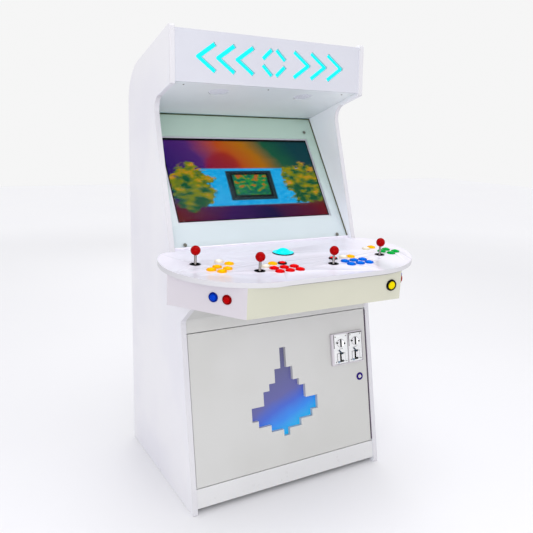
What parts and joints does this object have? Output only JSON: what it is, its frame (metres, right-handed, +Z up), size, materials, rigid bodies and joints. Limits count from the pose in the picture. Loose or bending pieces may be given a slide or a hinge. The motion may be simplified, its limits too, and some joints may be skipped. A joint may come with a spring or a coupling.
{
  "type": "arcade cabinet",
  "caption": "Stand-up arcade cabinet with a wide rounded multi-player control panel, sloped screen, lit head, side buttons, trackball, joysticks and a hinged coin door",
  "frame": {"origin": "on the floor under the middle of the whole cabinet, control panel included", "axes": "+X to the right of a player facing the screen, +Y to the rear, +Z up; the front faces -Y"},
  "size_m": [1.016, 0.9778, 1.7586],
  "materials": {
    "white_side_board": "smooth satin white laminate over MDF, faint lavender cast",
    "white_front_board": "smooth satin white laminate over MDF, neutral to warm",
    "white_head_board": "smooth satin white laminate over MDF",
    "white_deck": "gloss white laminate over MDF, rounded white edge",
    "grey_speaker_board": "satin pale grey-blue painted panel",
    "screen_glass": "clear glass with a pale green-white printed border",
    "monitor_case": "matte black display housing with a glossy screen",
    "computer_case": "black powder-coated steel",
    "cyan_lit_acrylic": "translucent acrylic lit cyan from behind",
    "blue_lit_ribbed_sheet": "ribbed translucent sheet lit blue from behind",
    "speaker_cone": "black paper cone and steel frame",
    "black_plastic": "moulded black plastic",
    "coin_plate_steel": "bright satin steel face plate",
    "coin_flap_steel": "brushed steel",
    "lock_steel": "polished cam lock",
    "pivot_steel": "pressed steel",
    "red_ball_top": "glossy red ball top on a bright steel shaft",
    "cyan_ball": "polished translucent cyan ball",
    "red_button": "moulded glossy plastic",
    "blue_button": "moulded glossy plastic",
    "yellow_button": "moulded glossy plastic",
    "green_button": "moulded glossy plastic"
  },
  "bodies": {
    "cabinet": {"left_side_panel": "white_side_board", "right_side_panel": "white_side_board", "roof_panel": "white_side_board", "rear_panel": "white_side_board", "power_inlet": "black_plastic", "base_panel": "white_side_board", "kick_plate": "white_front_board", "front_rail": "white_front_board", "marquee_panel": "white_head_board", "marquee_diffuser": "cyan_lit_acrylic", "speaker_panel": "grey_speaker_board", "left_speaker": "speaker_cone", "right_speaker": "speaker_cone", "screen_glass": "screen_glass", "monitor": "monitor_case", "game_computer": "computer_case", "control_panel": "white_deck", "control_box": "white_front_board", "trackball_housing": "black_plastic"},
    "door": {"service_door": "white_front_board", "door_diffuser": "blue_lit_ribbed_sheet", "left_coin_plate": "coin_plate_steel", "right_coin_plate": "coin_plate_steel"},
    "lock": {"door_lock": "lock_steel"},
    "left_coin_flap": {"left_coin_flap": "coin_flap_steel"},
    "right_coin_flap": {"right_coin_flap": "coin_flap_steel"},
    "trackball": {"trackball": "cyan_ball"},
    "ring_1": {"player_1_pivot_ring": "pivot_steel"},
    "stick_1": {"player_1_stick": "red_ball_top"},
    "ring_2": {"player_2_pivot_ring": "pivot_steel"},
    "stick_2": {"player_2_stick": "red_ball_top"},
    "ring_3": {"player_3_pivot_ring": "pivot_steel"},
    "stick_3": {"player_3_stick": "red_ball_top"},
    "ring_4": {"player_4_pivot_ring": "pivot_steel"},
    "stick_4": {"player_4_stick": "red_ball_top"},
    "button_1_1": {"player_1_button_1": "red_button"},
    "button_1_2": {"player_1_button_2": "red_button"},
    "button_1_3": {"player_1_button_3": "red_button"},
    "button_1_4": {"player_1_button_4": "red_button"},
    "button_1_5": {"player_1_button_5": "red_button"},
    "button_1_6": {"player_1_button_6": "red_button"},
    "button_2_1": {"player_2_button_1": "blue_button"},
    "button_2_2": {"player_2_button_2": "blue_button"},
    "button_2_3": {"player_2_button_3": "blue_button"},
    "button_2_4": {"player_2_button_4": "blue_button"},
    "button_2_5": {"player_2_button_5": "blue_button"},
    "button_2_6": {"player_2_button_6": "blue_button"},
    "button_3_1": {"player_3_button_1": "yellow_button"},
    "button_3_2": {"player_3_button_2": "yellow_button"},
    "button_3_3": {"player_3_button_3": "yellow_button"},
    "button_3_4": {"player_3_button_4": "yellow_button"},
    "button_4_1": {"player_4_button_1": "green_button"},
    "button_4_2": {"player_4_button_2": "green_button"},
    "button_4_3": {"player_4_button_3": "green_button"},
    "button_4_4": {"player_4_button_4": "green_button"},
    "front_button": {"front_button": "yellow_button"},
    "left_side_button_1": {"left_side_button_1": "red_button"},
    "left_side_button_2": {"left_side_button_2": "blue_button"},
    "right_side_button_1": {"right_side_button_1": "red_button"},
    "right_side_button_2": {"right_side_button_2": "blue_button"}
  },
  "joints": [
    {"name": "door_hinge", "type": "hinge", "parent": "cabinet", "child": "door", "pos_m": [-0.3986, -0.17412, 0.37427], "axis": [0, -0.163, -0.9866], "range_deg": [0, 100]},
    {"name": "lock_turn", "type": "hinge", "parent": "door", "child": "lock", "pos_m": [0.355, -0.17428, 0.37328], "axis": [0, -0.9866, 0.163], "range_deg": [0, 90]},
    {"name": "left_coin_flap_swing", "type": "hinge", "parent": "door", "child": "left_coin_flap", "pos_m": [0.263, -0.1557, 0.48271], "axis": [1, 0, 0], "range_deg": [0, 50], "stiffness_Nm_per_rad": 0.02, "springref_deg": -14.32},
    {"name": "right_coin_flap_swing", "type": "hinge", "parent": "door", "child": "right_coin_flap", "pos_m": [0.337, -0.1557, 0.48271], "axis": [1, 0, 0], "range_deg": [0, 50], "stiffness_Nm_per_rad": 0.02, "springref_deg": -14.32},
    {"name": "trackball_roll", "type": "hinge", "parent": "cabinet", "child": "trackball", "pos_m": [-0.018, -0.15233, 0.9138], "axis": [1, 0, 0], "continuous": true},
    {"name": "stick_1_fore_aft", "type": "hinge", "parent": "cabinet", "child": "ring_1", "pos_m": [-0.218, -0.34664, 0.88267], "axis": [1, 0, 0], "range_deg": [-9, 9], "stiffness_Nm_per_rad": 0.8},
    {"name": "stick_1_side", "type": "hinge", "parent": "ring_1", "child": "stick_1", "pos_m": [-0.218, -0.34664, 0.88267], "axis": [0, 0.9976, 0.0698], "range_deg": [-9, 9], "stiffness_Nm_per_rad": 0.8},
    {"name": "stick_2_fore_aft", "type": "hinge", "parent": "cabinet", "child": "ring_2", "pos_m": [0.084, -0.34863, 0.88253], "axis": [1, 0, 0], "range_deg": [-9, 9], "stiffness_Nm_per_rad": 0.8},
    {"name": "stick_2_side", "type": "hinge", "parent": "ring_2", "child": "stick_2", "pos_m": [0.084, -0.34863, 0.88253], "axis": [0, 0.9976, 0.0698], "range_deg": [-9, 9], "stiffness_Nm_per_rad": 0.8},
    {"name": "stick_3_fore_aft", "type": "hinge", "parent": "cabinet", "child": "ring_3", "pos_m": [-0.394, -0.198, 0.89307], "axis": [1, 0, 0], "range_deg": [-9, 9], "stiffness_Nm_per_rad": 0.8},
    {"name": "stick_3_side", "type": "hinge", "parent": "ring_3", "child": "stick_3", "pos_m": [-0.394, -0.198, 0.89307], "axis": [0, 0.9976, 0.0698], "range_deg": [-9, 9], "stiffness_Nm_per_rad": 0.8},
    {"name": "stick_4_fore_aft", "type": "hinge", "parent": "cabinet", "child": "ring_4", "pos_m": [0.341, -0.29177, 0.88651], "axis": [1, 0, 0], "range_deg": [-9, 9], "stiffness_Nm_per_rad": 0.8},
    {"name": "stick_4_side", "type": "hinge", "parent": "ring_4", "child": "stick_4", "pos_m": [0.341, -0.29177, 0.88651], "axis": [0, 0.9976, 0.0698], "range_deg": [-9, 9], "stiffness_Nm_per_rad": 0.8},
    {"name": "button_1_1_press", "type": "slide", "parent": "cabinet", "child": "button_1_1", "axis": [0, 0.0698, -0.9976], "range_m": [0, 0.003], "stiffness_N_per_m": 300, "springref_m": -0.002},
    {"name": "button_1_2_press", "type": "slide", "parent": "cabinet", "child": "button_1_2", "axis": [0, 0.0698, -0.9976], "range_m": [0, 0.003], "stiffness_N_per_m": 300, "springref_m": -0.002},
    {"name": "button_1_3_press", "type": "slide", "parent": "cabinet", "child": "button_1_3", "axis": [0, 0.0698, -0.9976], "range_m": [0, 0.003], "stiffness_N_per_m": 300, "springref_m": -0.002},
    {"name": "button_1_4_press", "type": "slide", "parent": "cabinet", "child": "button_1_4", "axis": [0, 0.0698, -0.9976], "range_m": [0, 0.003], "stiffness_N_per_m": 300, "springref_m": -0.002},
    {"name": "button_1_5_press", "type": "slide", "parent": "cabinet", "child": "button_1_5", "axis": [0, 0.0698, -0.9976], "range_m": [0, 0.003], "stiffness_N_per_m": 300, "springref_m": -0.002},
    {"name": "button_1_6_press", "type": "slide", "parent": "cabinet", "child": "button_1_6", "axis": [0, 0.0698, -0.9976], "range_m": [0, 0.003], "stiffness_N_per_m": 300, "springref_m": -0.002},
    {"name": "button_2_1_press", "type": "slide", "parent": "cabinet", "child": "button_2_1", "axis": [0, 0.0698, -0.9976], "range_m": [0, 0.003], "stiffness_N_per_m": 300, "springref_m": -0.002},
    {"name": "button_2_2_press", "type": "slide", "parent": "cabinet", "child": "button_2_2", "axis": [0, 0.0698, -0.9976], "range_m": [0, 0.003], "stiffness_N_per_m": 300, "springref_m": -0.002},
    {"name": "button_2_3_press", "type": "slide", "parent": "cabinet", "child": "button_2_3", "axis": [0, 0.0698, -0.9976], "range_m": [0, 0.003], "stiffness_N_per_m": 300, "springref_m": -0.002},
    {"name": "button_2_4_press", "type": "slide", "parent": "cabinet", "child": "button_2_4", "axis": [0, 0.0698, -0.9976], "range_m": [0, 0.003], "stiffness_N_per_m": 300, "springref_m": -0.002},
    {"name": "button_2_5_press", "type": "slide", "parent": "cabinet", "child": "button_2_5", "axis": [0, 0.0698, -0.9976], "range_m": [0, 0.003], "stiffness_N_per_m": 300, "springref_m": -0.002},
    {"name": "button_2_6_press", "type": "slide", "parent": "cabinet", "child": "button_2_6", "axis": [0, 0.0698, -0.9976], "range_m": [0, 0.003], "stiffness_N_per_m": 300, "springref_m": -0.002},
    {"name": "button_3_1_press", "type": "slide", "parent": "cabinet", "child": "button_3_1", "axis": [0, 0.0698, -0.9976], "range_m": [0, 0.003], "stiffness_N_per_m": 300, "springref_m": -0.002},
    {"name": "button_3_2_press", "type": "slide", "parent": "cabinet", "child": "button_3_2", "axis": [0, 0.0698, -0.9976], "range_m": [0, 0.003], "stiffness_N_per_m": 300, "springref_m": -0.002},
    {"name": "button_3_3_press", "type": "slide", "parent": "cabinet", "child": "button_3_3", "axis": [0, 0.0698, -0.9976], "range_m": [0, 0.003], "stiffness_N_per_m": 300, "springref_m": -0.002},
    {"name": "button_3_4_press", "type": "slide", "parent": "cabinet", "child": "button_3_4", "axis": [0, 0.0698, -0.9976], "range_m": [0, 0.003], "stiffness_N_per_m": 300, "springref_m": -0.002},
    {"name": "button_4_1_press", "type": "slide", "parent": "cabinet", "child": "button_4_1", "axis": [0, 0.0698, -0.9976], "range_m": [0, 0.003], "stiffness_N_per_m": 300, "springref_m": -0.002},
    {"name": "button_4_2_press", "type": "slide", "parent": "cabinet", "child": "button_4_2", "axis": [0, 0.0698, -0.9976], "range_m": [0, 0.003], "stiffness_N_per_m": 300, "springref_m": -0.002},
    {"name": "button_4_3_press", "type": "slide", "parent": "cabinet", "child": "button_4_3", "axis": [0, 0.0698, -0.9976], "range_m": [0, 0.003], "stiffness_N_per_m": 300, "springref_m": -0.002},
    {"name": "button_4_4_press", "type": "slide", "parent": "cabinet", "child": "button_4_4", "axis": [0, 0.0698, -0.9976], "range_m": [0, 0.003], "stiffness_N_per_m": 300, "springref_m": -0.002},
    {"name": "front_button_press", "type": "slide", "parent": "cabinet", "child": "front_button", "axis": [0, 0.9976, 0.0698], "range_m": [0, 0.003], "stiffness_N_per_m": 300, "springref_m": -0.002},
    {"name": "left_side_button_1_press", "type": "slide", "parent": "cabinet", "child": "left_side_button_1", "axis": [0.7895, 0.6122, 0.0428], "range_m": [0, 0.003], "stiffness_N_per_m": 300, "springref_m": -0.002},
    {"name": "left_side_button_2_press", "type": "slide", "parent": "cabinet", "child": "left_side_button_2", "axis": [0.7895, 0.6122, 0.0428], "range_m": [0, 0.003], "stiffness_N_per_m": 300, "springref_m": -0.002},
    {"name": "right_side_button_1_press", "type": "slide", "parent": "cabinet", "child": "right_side_button_1", "axis": [-0.7895, 0.6122, 0.0428], "range_m": [0, 0.003], "stiffness_N_per_m": 300, "springref_m": -0.002},
    {"name": "right_side_button_2_press", "type": "slide", "parent": "cabinet", "child": "right_side_button_2", "axis": [-0.7895, 0.6122, 0.0428], "range_m": [0, 0.003], "stiffness_N_per_m": 300, "springref_m": -0.002}
  ]
}
